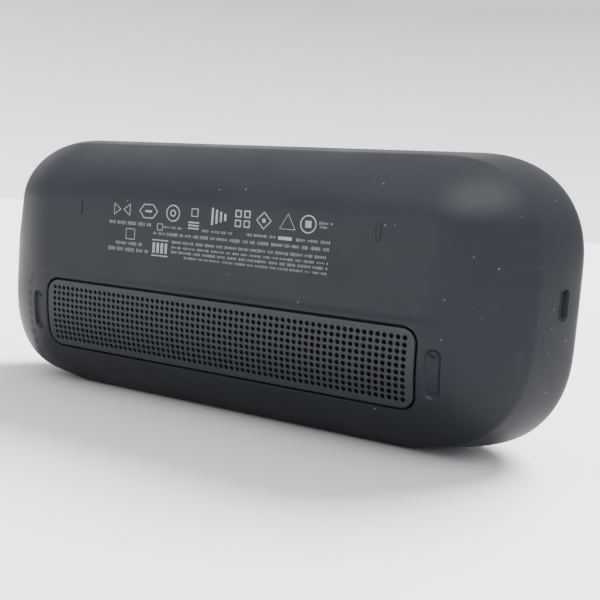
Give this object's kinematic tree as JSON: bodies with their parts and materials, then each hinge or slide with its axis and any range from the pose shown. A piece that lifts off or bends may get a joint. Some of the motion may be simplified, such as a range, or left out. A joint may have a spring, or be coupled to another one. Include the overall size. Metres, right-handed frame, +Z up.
{
  "type": "smart display",
  "caption": "Pillow-shaped tabletop smart display: wide touch screen in front, curved perforated speaker grille behind, side power port, top buttons and a low foot.",
  "frame": {"origin": "centre of the footprint at the underside of the foot pad", "axes": "+Z up, the screen faces -Y and the speaker grille faces +Y, +X to the right of someone looking at the screen"},
  "size_m": [0.2274, 0.0584, 0.0968],
  "materials": {
    "shell": "fine matte moulded texture, slate grey",
    "grille": "satin moulded, slightly lighter slate grey",
    "bezel": "satin, dark slate grey",
    "screen_glass": "glossy black-backed cover glass",
    "lcd": "glossy dark panel",
    "cloth": "fine black acoustic cloth",
    "foot": "matte black rubber",
    "button": "satin moulded",
    "shutter": "satin black",
    "module": "black moulded",
    "lens": "coated lens",
    "chassis": "stamped aluminium",
    "sheet_metal": "plated sheet steel",
    "magnet": "plated ferrite magnet",
    "cone": "pressed pulp cone",
    "circuit_board": "solder-masked board",
    "chip": "moulded epoxy",
    "thermal": "soft gap filler",
    "flex": "polyimide film",
    "lead": "jacketed lead",
    "fastener": "zinc-plated screw"
  },
  "bodies": {
    "housing": {"rear_shell": "shell", "front_bezel": "bezel", "front_glass": "screen_glass", "rear_grille": "grille", "acoustic_mesh": "cloth", "foot_pad": "foot", "display_panel": "lcd", "backlight_unit": "sheet_metal", "display_tray": "chassis", "camera_module": "module", "camera_lens": "lens", "light_sensor": "chip", "volume_down_switch": "sheet_metal", "volume_up_switch": "sheet_metal", "mute_switch": "sheet_metal", "button_board": "circuit_board", "left_microphone": "circuit_board", "right_microphone": "circuit_board", "speaker_box": "module", "speaker_baffle": "module", "radiator_frame": "sheet_metal", "mainboard": "circuit_board", "processor_shield": "sheet_metal", "processor_chip": "chip", "thermal_pad": "thermal", "heat_spreader": "chassis", "memory_chip": "chip", "audio_amplifier": "chip", "power_inductor": "magnet", "usb_c_receptacle": "sheet_metal", "usb_board": "circuit_board", "usb_lead": "lead", "display_flex": "flex", "button_flex": "flex", "left_antenna": "flex", "right_antenna": "flex", "left_driver_frame": "sheet_metal", "left_driver_magnet": "magnet", "right_driver_frame": "sheet_metal", "right_driver_magnet": "magnet", "case_screw_1": "fastener", "case_screw_2": "fastener", "case_screw_3": "fastener", "case_screw_4": "fastener", "case_screw_5": "fastener", "case_screw_6": "fastener", "board_screw_1": "fastener", "board_screw_2": "fastener", "board_screw_3": "fastener", "board_screw_4": "fastener"},
    "volume_down_button": {"volume_down_button": "button"},
    "volume_up_button": {"volume_up_button": "button"},
    "mute_button": {"mute_button": "button"},
    "camera_shutter": {"camera_shutter": "shutter"},
    "left_driver_cone": {"left_driver_cone": "cone"},
    "right_driver_cone": {"right_driver_cone": "cone"},
    "radiator_plate": {"radiator_plate": "cone"}
  },
  "joints": [
    {"name": "volume_down_press", "type": "slide", "parent": "housing", "child": "volume_down_button", "axis": [0, 0, 1], "range_m": [-0.0006, 0], "stiffness_N_per_m": 1200, "springref_m": 0.0006},
    {"name": "volume_up_press", "type": "slide", "parent": "housing", "child": "volume_up_button", "axis": [0, 0, 1], "range_m": [-0.0006, 0], "stiffness_N_per_m": 1200, "springref_m": 0.0006},
    {"name": "mute_press", "type": "slide", "parent": "housing", "child": "mute_button", "axis": [0, 0, 1], "range_m": [-0.0006, 0], "stiffness_N_per_m": 1200, "springref_m": 0.0006},
    {"name": "shutter_slide", "type": "slide", "parent": "housing", "child": "camera_shutter", "axis": [1, 0, 0], "range_m": [-0.0075, 0]},
    {"name": "left_cone_travel", "type": "slide", "parent": "housing", "child": "left_driver_cone", "axis": [0, 1, 0], "range_m": [-0.001, 0.001], "stiffness_N_per_m": 1500},
    {"name": "right_cone_travel", "type": "slide", "parent": "housing", "child": "right_driver_cone", "axis": [0, 1, 0], "range_m": [-0.001, 0.001], "stiffness_N_per_m": 1500},
    {"name": "radiator_travel", "type": "slide", "parent": "housing", "child": "radiator_plate", "axis": [0, 1, 0], "range_m": [-0.0012, 0.0012], "stiffness_N_per_m": 900}
  ]
}
